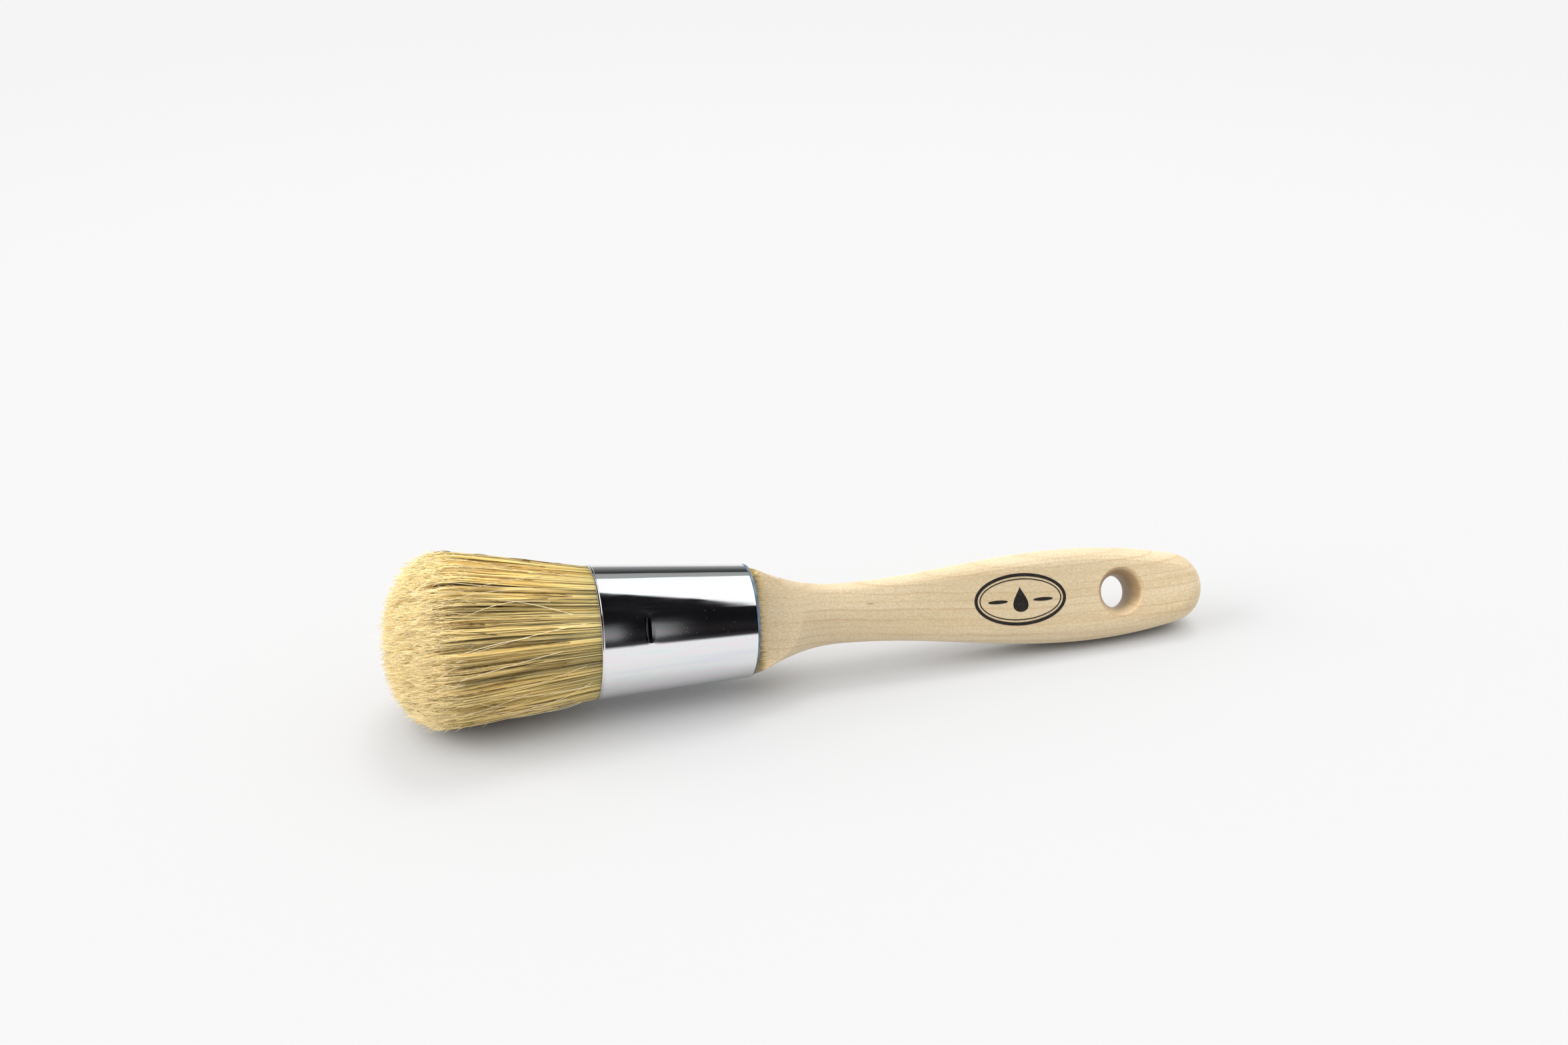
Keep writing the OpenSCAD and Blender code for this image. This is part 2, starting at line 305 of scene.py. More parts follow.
    # A pin knot on the front of the neck.
    knot_x = calc(tree, "DIVIDE", calc(tree, "SUBTRACT", x, KNOT_X), KNOT_HALF_LENGTH)
    knot_z = calc(tree, "DIVIDE", calc(tree, "SUBTRACT", z, KNOT_Z), KNOT_HALF_WIDTH)
    knot = calc(tree, "ADD", calc(tree, "POWER", knot_x, 2.0), calc(tree, "POWER", knot_z, 2.0))
    ragged = calc(tree, "ADD", knot, calc(tree, "MULTIPLY", fleck, 1.2))
    knot = rescale(tree, ragged, 0.5, 1.6, 1.0, 0.0, True)
    knot = calc(tree, "MULTIPLY", knot, calc(tree, "LESS_THAN", y, 0.0))
    base = blend(tree, calc(tree, "MULTIPLY", knot, 0.7), base, srgb(150, 104, 62))
    # Adhesive has crept into the grain behind the ferrule: olive at the bead, then yellow, then gone.
    creep = noise(tree, stretched(tree, grain, (5.0, 0.8, 0.45)), 2.0, 0.7)
    behind = calc(tree, "SUBTRACT", x, FERRULE_END + 0.9)
    reach = calc(tree, "SUBTRACT", behind, calc(tree, "MULTIPLY", calc(tree, "SUBTRACT", creep, 0.5), 4.5))
    base = blend(tree, rescale(tree, reach, 0.4, 4.6, 0.55, 0.0, True), base, srgb(212, 180, 108))
    base = blend(tree, rescale(tree, reach, 0.0, 2.7, 0.95, 0.0, True), base, srgb(120, 106, 62))
    feed(shader.inputs["Base Color"], base)
    feed(shader.inputs["Roughness"], rescale(tree, fibre, 0.2, 0.8, 0.36, 0.50))
    relief = calc(tree, "ADD", calc(tree, "MULTIPLY", fibre, 0.6), calc(tree, "MULTIPLY", pore, -0.5))
    feed(shader.inputs["Normal"], bump(tree, relief, 0.00006, 0.5))
    return material


def chrome_material():
    """Bright plate on rolled sheet: near-mirror, with long soft waves, wiping marks and specks of dust."""
    material, tree, shader = new_material("chrome_plate", metallic=1.0)
    x, y, z = brush_space(tree)
    at = vector(tree, x, y, z)
    tint = noise(tree, stretched(tree, at, (60.0, 3.2, 3.2)), 1.0)
    base = ramp(tree, tint, [
        (0.30, srgb(226, 232, 233)),
        (0.42, srgb(233, 237, 238)),
        (0.52, srgb(238, 232, 236)),
        (0.62, srgb(232, 237, 236)),
        (0.75, srgb(229, 229, 236)),
    ])
    speck_at = stretched(tree, at, (0.9, 0.9, 0.9))
    cells = tree.nodes.new("ShaderNodeTexVoronoi")
    cells.inputs["Scale"].default_value = 1.0
    feed(cells.inputs["Vector"], speck_at)
    speck = rescale(tree, cells.outputs["Distance"], 0.05, 0.10, 1.0, 0.0)
    rare = calc(tree, "GREATER_THAN", noise(tree, stretched(tree, at, (3.0, 3.0, 3.0)), 2.0), 0.60)
    speck = calc(tree, "MULTIPLY", speck, rare)
    base = blend(tree, calc(tree, "MULTIPLY", speck, 0.6), base, srgb(214, 208, 200))
    # Painted reflection: the side of each crimp next to the mouth is darkened in the colour, for the dark
    # reflection there. Only the colour makes it so: the dent is in the CAD.
    past_crimp = calc(tree, "SUBTRACT", x, CRIMP_X)
    crimp_painted_reflection = calc(tree, "MULTIPLY", rescale(tree, past_crimp, -2.1, -1.5, 0.0, 1.0, True),
                    rescale(tree, past_crimp, -0.1, 0.4, 1.0, 0.0, True))
    crimp_painted_reflection = calc(tree, "MULTIPLY", crimp_painted_reflection,
                    rescale(tree, calc(tree, "ABSOLUTE", z), 2.6, 4.0, 1.0, 0.0, True))
    base = blend(tree, calc(tree, "MULTIPLY", crimp_painted_reflection, 0.93), base, srgb(52, 48, 54))
    feed(shader.inputs["Base Color"], base)
    wiped = noise(tree, stretched(tree, at, (26.0, 2.0, 2.0)), 3.0, 0.6)
    rough = rescale(tree, wiped, 0.3, 0.75, 0.03, 0.09)
    rough = calc(tree, "ADD", rough, calc(tree, "MULTIPLY", speck, 0.5))
    # Beside the front crimp the plate is rubbed dull: next to the mouth, and in a tongue behind the crimp.
    front = calc(tree, "LESS_THAN", y, 0.0)
    by_mouth = rescale(tree, past_crimp, -12.0, -2.5, 0.9, 0.0, True)
    tongue = calc(tree, "MULTIPLY", calc(tree, "GREATER_THAN", past_crimp, 0.2),
                  rescale(tree, past_crimp, 0.2, 18.0, 1.0, 0.0, True))
    off_middle = calc(tree, "ABSOLUTE", calc(tree, "ADD", z, 0.2))
    patch = calc(tree, "MULTIPLY", calc(tree, "MAXIMUM", by_mouth, tongue),
                 rescale(tree, off_middle, 0.6, 4.1, 1.0, 0.0, True))
    patch = calc(tree, "MULTIPLY", patch, front)
    feed(shader.inputs["Roughness"], calc(tree, "ADD", rough, calc(tree, "MULTIPLY", patch, 0.46)))
    wave = noise(tree, stretched(tree, at, (22.0, 8.0, 8.0)), 1.0)
    scratch = noise(tree, stretched(tree, at, (18.0, 0.25, 0.25)), 2.0)
    relief = calc(tree, "ADD", wave, calc(tree, "MULTIPLY", scratch, 0.012))
    feed(shader.inputs["Normal"], bump(tree, relief, 0.00035, 0.11))
    return material


def adhesive_material():
    """Blue-grey adhesive squeezed out in a bead: smooth, slightly lumpy, with painted shade in its low
    places.
    """
    material, tree, shader = new_material("adhesive", specular_ior_level=0.5)
    x, y, z = brush_space(tree)
    at = vector(tree, x, y, z)
    lumps = noise(tree, stretched(tree, at, (1.2, 2.5, 2.5)), 3.0, 0.6)
    # Painted shade and light: the low places of the lumps are darker and the high ones lighter.
    colour = ramp(tree, lumps, [
        (0.30, srgb(72, 88, 104)),
        (0.50, srgb(92, 111, 128)),
        (0.72, srgb(121, 140, 156)),
    ])
    feed(shader.inputs["Base Color"], colour)
    feed(shader.inputs["Roughness"], rescale(tree, lumps, 0.2, 0.8, 0.35, 0.6))
    feed(shader.inputs["Normal"], bump(tree, lumps, 0.0002, 0.6))
    return material


def resin_material():
    """Cured setting resin, amber brown with bristle ends in it."""
    material, tree, shader = new_material("resin", specular_ior_level=0.5)
    x, y, z = brush_space(tree)
    ends = noise(tree, stretched(tree, vector(tree, x, y, z), (6.0, 0.3, 0.3)), 2.0)
    feed(shader.inputs["Base Color"], ramp(tree, ends, [
        (0.35, srgb(92, 60, 30)),
        (0.55, srgb(128, 86, 44)),
        (0.70, srgb(168, 128, 76)),
    ]))
    feed(shader.inputs["Roughness"], rescale(tree, ends, 0.3, 0.7, 0.3, 0.55))
    return material


def ink_material():
    """Black printing ink on open wood: solid, with pinholes and a thin grey bloom."""
    material, tree, shader = new_material("ink", specular_ior_level=0.3)
    x, y, z = brush_space(tree)
    at = vector(tree, x, y, z)
    bloom = noise(tree, stretched(tree, at, (1.4, 1.4, 0.5)), 3.0, 0.7)
    pinhole = rescale(tree, noise(tree, stretched(tree, at, (0.35, 0.35, 0.14)), 2.0), 0.66, 0.74)
    colour = ramp(tree, bloom, [(0.3, srgb(24, 21, 20)), (0.7, srgb(46, 41, 38))])
    colour = blend(tree, calc(tree, "MULTIPLY", pinhole, 0.55), colour, srgb(148, 124, 96))
    feed(shader.inputs["Base Color"], colour)
    feed(shader.inputs["Roughness"], rescale(tree, bloom, 0.2, 0.8, 0.55, 0.75))
    return material


UV_LAYER = "OFBake"
VARIANTS = 64


def bristle_material(name, stops, spread=0.74, warm=srgb(236, 196, 118), warmth=0.36):
    """Hog bristle. The UV map holds which of the shades a strand has (u) and how far along it is (v)."""
    material, tree, shader = new_material(
        name, roughness=0.42, specular_ior_level=0.45, sheen_weight=0.85, sheen_roughness=0.4,
        sheen_tint=(1.0, 0.90, 0.62, 1.0))
    uv = tree.nodes.new("ShaderNodeUVMap")
    uv.uv_map = UV_LAYER
    split = tree.nodes.new("ShaderNodeSeparateXYZ")
    feed(split.inputs[0], uv.outputs[0])
    shade, along = split.outputs[0], split.outputs[1]
    cell = calc(tree, "FLOOR", calc(tree, "MULTIPLY", shade, float(VARIANTS)))
    pick = tree.nodes.new("ShaderNodeTexWhiteNoise")
    pick.noise_dimensions = "1D"
    feed(pick.inputs["W"], cell)
    drift_at = vector(tree, calc(tree, "MULTIPLY", cell, 7.31), calc(tree, "MULTIPLY", along, 4.0), 0.0)
    drift = noise(tree, drift_at)
    lightness = calc(tree, "ADD", pick.outputs["Value"], calc(tree, "SUBTRACT", drift, 0.5))
    hue_at = vector(tree, calc(tree, "MULTIPLY", cell, 3.77), calc(tree, "MULTIPLY", along, 2.0), 9.0)
    hue = noise(tree, hue_at)
    colour = ramp(tree, along, stops)
    colour = blend(tree, rescale(tree, hue, 0.42, 0.68, 0.0, warmth), colour, warm)
    # Tips are all pale. Further back, one bristle is far darker than the next.
    darkest = rescale(tree, along, 0.82, 1.0, 1.0 - spread, 1.0 - spread * 0.48, True)
    colour = brighten(tree, colour, rescale(tree, lightness, 0.0, 0.58, darkest, 1.0 + spread * 0.17))
    feed(shader.inputs["Base Color"], colour)
    return material


def core_material():
    """Painted shade in a dark, streaked brown: for the core that shows through gaps, and for the thin
    strands in them.
    """
    material, tree, shader = new_material("bristle_shadow", roughness=0.8, specular_ior_level=0.2)
    x, y, z = brush_space(tree)
    streak = noise(tree, stretched(tree, vector(tree, x, y, z), (16.0, 0.3, 0.3)), 2.0)
    feed(shader.inputs["Base Color"], ramp(tree, streak, [
        (0.35, srgb(92, 68, 32)),
        (0.60, srgb(160, 126, 72)),
    ]))
    feed(shader.inputs["Normal"], bump(tree, streak, 0.0003, 1.0))
    return material


# ---------------------------------------------------------------- bristles
# How far over the floor a strand's line is held, in millimetres
FLOOR_GAP = 0.05
FLOOR_GAP_MOST = 0.5
# Directions in the row frame in which the head is pressed in and spread out, and by what share
UNDERSIDE = np.array((0.0, -0.46, -0.887))
UNDERSIDE_PRESS = 0.085
REST_SPOT = np.array((0.0, 0.30, -0.954))
REST_SPREAD = 0.085


def head_radius(x):
    """Radius of the bristle head at a local x in front of the mouth, in millimetres."""
    run = np.clip(-x / BELLY_AT, 0, 1)
    return MOUTH_RADIUS + (BELLY_RADIUS - MOUTH_RADIUS) * run ** 0.95


def dome_x(share):
    """Where a bristle at this share of the radius ends."""
    return -BELLY_AT - DOME_LENGTH * (1 - np.clip(share, 0, 1) ** DOME_POWER) ** (1 / DOME_POWER)


def off_the_floor(row, lift):
    """Points that would be lower than the lift, in millimetres, are brought to about that height."""
    low = row[..., 2] < lift * MM
    row[..., 2] = np.where(low, lift * MM + row[..., 2] * 0.02, row[..., 2])
    return row


def pressed(local):
    """The head's underside, pressed in towards the printed side and spread onto the floor behind."""
    out = (local * (0, 1, 1)) @ LOCAL_AXES
    out = out / np.maximum(np.linalg.norm(out, axis=-1, keepdims=True), 0.1)
    flattened = UNDERSIDE_PRESS * np.clip(out @ UNDERSIDE, 0, 1) ** 4
    spread = REST_SPREAD * np.clip(out @ REST_SPOT, 0, 1) ** 10
    scale = 1 + ((spread - flattened) * np.clip(-local[..., 0] / BELLY_AT, 0, 1))[..., None]
    return local * np.concatenate([np.ones_like(scale), scale, scale], -1)


def tube_mesh(name, paths, radii, shades, along):
    """Thin closed three-sided tubes in one mesh. paths is (strands, points, 3), in metres."""
    count, points = paths.shape[:2]
    tangent = np.gradient(paths, axis=1)
    tangent /= np.linalg.norm(tangent, axis=2, keepdims=True)
    side = np.cross(tangent, np.array((0.0, 0.31, 0.95)))
    side /= np.linalg.norm(side, axis=2, keepdims=True)
    other = np.cross(tangent, side)
    turn = rng.uniform(0, 2 * np.pi, (count, 1, 1, 1)) + np.arange(3).reshape(1, 1, 3, 1) * 2 * np.pi / 3
    ring = side[:, :, None] * np.cos(turn) + other[:, :, None] * np.sin(turn)
    vertices = (paths[:, :, None] + ring * radii[:, :, None, None]).reshape(-1, 3)

    strand = np.arange(count)[:, None, None] * points * 3
    step = np.arange(points - 1)[None, :, None] * 3
    a = strand + step + np.arange(3)[None, None, :]
    b = strand + step + (np.arange(3)[None, None, :] + 1) % 3
    quads = np.stack([a, b, b + 3, a, b + 3, a + 3], -1).reshape(-1, 3)
    roots = strand[:, 0, 0][:, None] + np.array([2, 1, 0])
    tips = strand[:, 0, 0][:, None] + (points - 1) * 3 + np.array([0, 1, 2])
    faces = np.concatenate([quads, roots, tips])

    left = (shades[:, None, None] + 0.15 + 0.7 * np.arange(3) / 3) / VARIANTS
    right = left + 0.7 / 3 / VARIANTS
    v0 = along[:, :-1, None]
    v1 = along[:, 1:, None]
    left, right, v0, v1 = np.broadcast_arrays(left, right, v0, v1)
    quad_uv = np.stack([left, v0, right, v0, right, v1, left, v0, right, v1, left, v1], -1).reshape(-1, 2)
    corner = (shades[:, None] + np.array([0.15, 0.5, 0.85])) / VARIANTS
    root_uv = np.stack([corner, along[:, :1] + np.array([0, 0.004, 0])], -1).reshape(-1, 2)
    tip_uv = np.stack([corner, along[:, -1:] - np.array([0, 0.004, 0])], -1).reshape(-1, 2)

    mesh = bpy.data.meshes.new(name)
    mesh.vertices.add(len(vertices))
    mesh.vertices.foreach_set("co", vertices.astype(np.float32).ravel())
    mesh.loops.add(faces.size)
    mesh.loops.foreach_set("vertex_index", faces.astype(np.int32).ravel())
    mesh.polygons.add(len(faces))
    mesh.polygons.foreach_set("loop_start", np.arange(0, faces.size, 3, dtype=np.int32))
    mesh.update(calc_edges=True)
    layer = mesh.uv_layers.new(name=UV_LAYER)
    layer.data.foreach_set("uv", np.concatenate([quad_uv, root_uv, tip_uv]).astype(np.float32).ravel())
    mesh.polygons.foreach_set("use_smooth", np.zeros(len(faces), dtype=bool))
    return mesh


def add_piece(name, mesh, material):
    piece = bpy.data.objects.new(name, mesh)
    bpy.context.scene.collection.objects.link(piece)
    mesh.materials.append(material)
    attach(piece, "root")
    return piece


def strand_paths(share, angle, start_x, points, clumps, pull, short):
    """Paths of bristles in local millimetres, and which clump each one gathers towards.

    They fan out with the head, gather in clumps and wander a little. pull is how strongly they gather, and
    short is how much shorter than the dome they usually are."""
    count = len(share)
    flat = np.stack([share * np.cos(angle), share * np.sin(angle)], -1)
    nearest = np.argmin(((flat[:, None] - clumps[None]) ** 2).sum(-1), 1)
    toward = clumps[nearest] - flat
    end_x = dome_x(share * 0.985) + np.minimum(rng.exponential(short, count), SHORTEST_BY) - 0.4
    t = np.linspace(0, 1, points)[None, :]
    x = start_x[:, None] + (end_x - start_x)[:, None] * t
    out = np.clip((LIP_INSIDE - x) / STRAND_RUN, 0, 1)
    gather = pull * np.sin(np.clip(out * 1.25, 0, 1) * np.pi * 0.62) ** 1.5
    clump_phase = rng.uniform(0, 2 * np.pi, (len(clumps), 2))[nearest]
    clump_swing = rng.normal(0, 0.016, (len(clumps), 2))[nearest]
    own_phase = rng.uniform(0, 2 * np.pi, (count, 2))
    own_swing = rng.normal(0, 0.010, (count, 2))
    lean = rng.normal(0, 0.018, (count, 2))
    at = flat[:, None] + toward[:, None] * gather[..., None]
    at = at + clump_swing[:, None] * (np.sin(out[..., None] * 5 + clump_phase[:, None])) * out[..., None]
    at = at + own_swing[:, None] * np.sin(out[..., None] * 11 + own_phase[:, None]) * out[..., None]
    at = at + lean[:, None] * out[..., None] ** 1.5
    reach = np.linalg.norm(at, axis=-1, keepdims=True)
    at = at / np.maximum(reach, 1.0)
    past_belly = np.clip((-x - BELLY_AT) / DOME_LENGTH, 0, 1)
    radius = head_radius(x) * (1 - 0.10 * past_belly ** 2 * share[:, None])
    local = np.concatenate([x[..., None], at * radius[..., None]], -1)
    return pressed(local), nearest


def flags(paths, per_tip, length, spread=0.09, points=3):
    """Each bristle's tip splits into a few finer ends."""
    tip = np.repeat(paths[:, -1], per_tip, 0)
    run = np.repeat(paths[:, -1] - paths[:, -2], per_tip, 0)
    run /= np.linalg.norm(run, axis=1, keepdims=True)
    count = len(tip)
    reach = rng.uniform(0.55, 1.25, count) * length
    away = rng.normal(0, spread, (count, 3))
    curl = rng.normal(0, spread * 1.2, (count, 3))
    t = np.linspace(0, 1, points)[None, :, None]
    start = tip - run * (reach * 0.5)[:, None]
    go = run[:, None] + away[:, None] * t + curl[:, None] * t ** 2
    return start[:, None] + go * t * reach[:, None, None]


OUTER_STRANDS = 4400
INNER_STRANDS = 4600
OUTER_CLUMPS = 560
INNER_CLUMPS = 260
STRAY_STRANDS = 50
BLACK_STRANDS = 14
GAP_SHADE_STRANDS = 130
FLAGS_PER_TIP = 2
# All in millimetres: a flag's length, how far behind the dome the inner strands start, and the most that a
# strand ends short of the dome
FLAG_LENGTH = 3.8
INNER_DEPTH = 17
SHORTEST_BY = 13
# Radii at the root, of the thinnest and the thickest strand, in millimetres
OUTER_RADII = (0.105, 0.18)
INNER_RADII = (0.12, 0.19)
FLAG_RADII = (0.065, 0.10)
# Share of the bristles that have the same shade as the rest of their clump
SHARED_SHADE = 0.48


def make_bristles():
    straw = bristle_material("bristle", [
        (0.00, srgb(206, 194, 132)),
        (0.12, srgb(238, 215, 142)),
        (0.45, srgb(254, 227, 148)),
        (0.78, srgb(255, 232, 162)),
        (0.97, srgb(255, 240, 194)),
    ])
    pale = bristle_material("bristle_pale", [
        (0.0, srgb(252, 236, 190)),
        (1.0, srgb(255, 244, 212)),
    ], spread=0.08, warmth=0.15)
    black = bristle_material("bristle_black", [
        (0.0, srgb(20, 17, 16)),
        (1.0, srgb(34, 28, 25)),
    ], spread=0.2, warm=srgb(40, 30, 22))
    shadow = core_material()

    clumps_out = np.stack([
        rng.uniform(0.86, 0.985, OUTER_CLUMPS),
        rng.uniform(0, 2 * np.pi, OUTER_CLUMPS),
    ], -1)
    clumps_in = np.stack([
        np.sqrt(rng.uniform(0, 0.74, INNER_CLUMPS)),
        rng.uniform(0, 2 * np.pi, INNER_CLUMPS),
    ], -1)
    clumps = np.concatenate([clumps_out, clumps_in])
    clumps = np.stack([clumps[:, 0] * np.cos(clumps[:, 1]), clumps[:, 0] * np.sin(clumps[:, 1])], -1)

    share = 1 - 0.15 * rng.uniform(0, 1, OUTER_STRANDS) ** 1.2
    angle = np.sort(rng.uniform(0, 2 * np.pi, OUTER_STRANDS))
    outer, outer_family = strand_paths(
        share, angle, np.full(OUTER_STRANDS, LIP_INSIDE), 11, clumps, pull=0.52, short=3.6)
    inner_share = np.sqrt(rng.uniform(0, 0.78, INNER_STRANDS))
    inner_angle = np.sort(rng.uniform(0, 2 * np.pi, INNER_STRANDS))
    inner_start = dome_x(inner_share) + INNER_DEPTH
    inner, inner_family = strand_paths(
        inner_share, inner_angle, inner_start, 6, clumps, pull=0.35, short=1.6)
    family_shade = rng.integers(0, VARIANTS, len(clumps))

    def shape(name, local, radii, taper, material, low_v=None, family=None):
        """Makes a piece of strands. family is each one's clump, for a shade shared with its neighbours."""
        count, points = local.shape[:2]
        thick = rng.uniform(*radii, count)[:, None] * np.linspace(1, taper, points)[None, :]
        if low_v is None:
            along = (LIP_INSIDE - local[..., 0]) / STRAND_RUN
            along = along + rng.normal(0, 0.03, (count, 1))
        else:
            along = np.linspace(low_v, 1, points)[None, :] + np.zeros((count, 1))
        row = off_the_floor(to_row(local), rng.uniform(FLOOR_GAP, FLOOR_GAP_MOST, (count, 1)))
        shades = rng.integers(0, VARIANTS, count).astype(float)
        if family is not None:
            shades = np.where(rng.uniform(0, 1, count) < SHARED_SHADE, family_shade[family], shades)
        mesh = tube_mesh(name, row, thick * MM, shades, np.clip(along, 0.01, 0.99))
        piece = add_piece(name, mesh, material)
        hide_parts("bristle_bundle")

    half = OUTER_STRANDS // 2
    shape("bristles_outer_a", outer[:half], OUTER_RADII, 0.6, straw, family=outer_family[:half])
    shape("bristles_outer_b", outer[half:], OUTER_RADII, 0.6, straw, family=outer_family[half:])
    shape("bristles_inner", inner, INNER_RADII, 0.6, straw, family=inner_family)
    shape("bristle_flags_outer", flags(outer, FLAGS_PER_TIP, FLAG_LENGTH), FLAG_RADII, 0.45, straw, 0.86)
    shape("bristle_flags_inner", flags(inner, FLAGS_PER_TIP, FLAG_LENGTH), FLAG_RADII, 0.45, straw, 0.86)
    make_strays(pale, black, shadow, shape)
    make_core(shadow)


def surface_strand(angle_from, angle_to, x_from, x_to, proud, points=13, bow=0.0):
    """A bristle lying on the outside of the head, from one place to another, with a slight bow."""
    t = np.linspace(0, 1, points)
    x = x_from + (x_to - x_from) * t
    angle = angle_from + (angle_to - angle_from) * t + bow * np.sin(np.pi * t)
    radius = head_radius(x) + proud * np.sin(np.pi * np.clip(t * 1.1, 0, 1)) - 0.15
    past = np.clip((-x - BELLY_AT) / DOME_LENGTH, 0, 1)
    radius = radius * (1 - past ** DOME_POWER) ** (1 / DOME_POWER)
    return pressed(np.stack([x, radius * np.cos(angle), radius * np.sin(angle)], -1))


def make_strays(pale, black, brown, shape):
    """Pale bristles that cross the others at a slant, a few black ones, and thin brown ones.

    The brown ones are painted shade: they stand in for the dark gaps between clumps."""
    crossing = []
    for _ in range(STRAY_STRANDS):
        angle = rng.uniform(0, 2 * np.pi)
        swing = rng.uniform(0.10, 0.34) * rng.choice([-1, 1])
        start = rng.uniform(-22, -1)
        end = start - rng.uniform(18, 36)
        crossing.append(surface_strand(
            angle, angle + swing, start, max(end, -54), rng.uniform(0.3, 0.9),
            bow=rng.normal(0, 0.03)))
    shape("bristles_stray", np.array(crossing), (0.10, 0.145), 0.55, pale)

    # Angles run from the back of the head (0) over its upper edge (pi / 2) to the printed side (pi).
    # These black ones have set places. The others lie at random on the back.
    dark = [
        surface_strand(2.62, 2.66, 1.0, -41, 0.75, bow=0.02),
        surface_strand(1.52, 1.55, -26, -35, 0.4),
        surface_strand(1.56, 1.50, -42, -50, 0.4),
        surface_strand(1.72, 1.62, -38, -47, 0.5),
        surface_strand(3.42, 3.46, -14, -30, 0.2),
        surface_strand(3.06, 3.00, -30, -40, 0.2),
        surface_strand(4.05, 4.10, -52, -55, 0.3),
        surface_strand(4.22, 4.20, -50, -54, 0.3),
    ]
    for _ in range(BLACK_STRANDS - len(dark)):
        angle = rng.uniform(-1.3, 1.3)
        start = rng.uniform(-20, 0)
        dark.append(surface_strand(
            angle, angle + rng.normal(0, 0.05), start, start - rng.uniform(8, 26), 0.3))
    shape("bristles_black", np.array(dark), (0.11, 0.15), 0.4, black)

    # Painted shade: thin brown strands lying on the head, for the dark gaps between clumps.
    sunk = []
    for _ in range(GAP_SHADE_STRANDS):
        angle = rng.uniform(0, 2 * np.pi)
        start = rng.uniform(-38, -4)
        sunk.append(surface_strand(
            angle, angle + rng.normal(0, 0.03), start, start - rng.uniform(5, 15), 0.22))
    shape("bristles_gap_shade", np.array(sunk), (0.08, 0.15), 0.4, brown)


CORE_SHARE = 0.83
CORE_RINGS = 26
CORE_SIDES = 72
# The core starts inside the ferrule and stops short of the dome, in millimetres
CORE_ROOT = 4
CORE_SHORT = 5.5
CORE_DOME_SHORT = 5.0
CORE_LIFT = 0.6


def make_core(material):
    """The closed body under the outer bristles, which the gaps between clumps show."""
    t = np.linspace(0, 1, CORE_RINGS)
    x = CORE_ROOT - (CORE_ROOT + BELLY_AT + DOME_LENGTH - CORE_SHORT) * np.sin(t * np.pi / 2)
    past = np.clip((-x - BELLY_AT) / (DOME_LENGTH - CORE_DOME_SHORT), 0, 1)
    radius = head_radius(x) * CORE_SHARE * np.maximum(1 - past ** DOME_POWER, 0.0004) ** (1 / DOME_POWER)
    angle = np.arange(CORE_SIDES) * 2 * np.pi / CORE_SIDES
    furrow = 1 + 0.012 * np.sin(angle * 17 + 1.0) + 0.010 * np.sin(angle * 29)
    ring = np.stack([np.cos(angle) * furrow, np.sin(angle) * furrow], -1)
    local = np.concatenate([
        np.broadcast_to(x[:, None, None], (CORE_RINGS, CORE_SIDES, 1)),
        ring[None] * radius[:, None, None],
    ], -1)
    row = off_the_floor(to_row(pressed(local)), CORE_LIFT).reshape(-1, 3)
    faces = [
        (i * CORE_SIDES + j, i * CORE_SIDES + (j + 1) % CORE_SIDES,
         (i + 1) * CORE_SIDES + (j + 1) % CORE_SIDES, (i + 1) * CORE_SIDES + j)
        for i in range(CORE_RINGS - 1) for j in range(CORE_SIDES)
    ]
    faces.append(tuple(range(CORE_SIDES - 1, -1, -1)))
    faces.append(tuple((CORE_RINGS - 1) * CORE_SIDES + j for j in range(CORE_SIDES)))
    mesh = bpy.data.meshes.new("bristle_core")
    mesh.from_pydata(row.tolist(), [], faces)
    mesh.shade_smooth()
    # Its material is painted shade, so the gaps between clumps look dark.
    core = add_piece("bristle_core", mesh, material)
    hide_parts("bristle_bundle")


# ---------------------------------------------------------------- CAD nodes that stay
def finish_cad_nodes():
    looks = {
        "ferrule": chrome_material(),
        "handle": wood_material(),
        "handle_adhesive": adhesive_material(),
        "resin_plug": resin_material(),
        "printed_mark": ink_material(),
    }
    for name, material in looks.items():
        node = frame["nodes"][name]
        for held in node.material_slots:
            held.material = material


# ---------------------------------------------------------------- floor, light and backdrop
BACKDROP = 0.915
FLOOR_FADE_FROM = 0.42
FLOOR_FADE_TO = 0.95
FLOOR_WHITE = 0.30
FLOOR_GLOW = 0.388
KEY_FROM = Vector((0.25, 0.35, 1.1))
KEY_SHARE = 0.38
KEY_SPREAD = 24
SIDE_FROM = Vector((-1.0, 0.1, 0.4))
SIDE_SHARE = 1.15
SIDE_SPREAD = 50
CONTACT_REACH = 0.08
RIM_SIDES = 96
# Two points of the softbox's left edge at a height of 1, the height it hangs at, how far it goes on past
# each point, and its width
BOX_EDGE_A = Vector((0.2865, 0.087, 1.0))
BOX_EDGE_B = Vector((0.475, -0.577, 1.0))
BOX_HEIGHT = 0.92
BOX_BACK = 0.70
BOX_FRONT = 0.66
BOX_WIDTH = 1.0
BOX_GLOW = 1.26


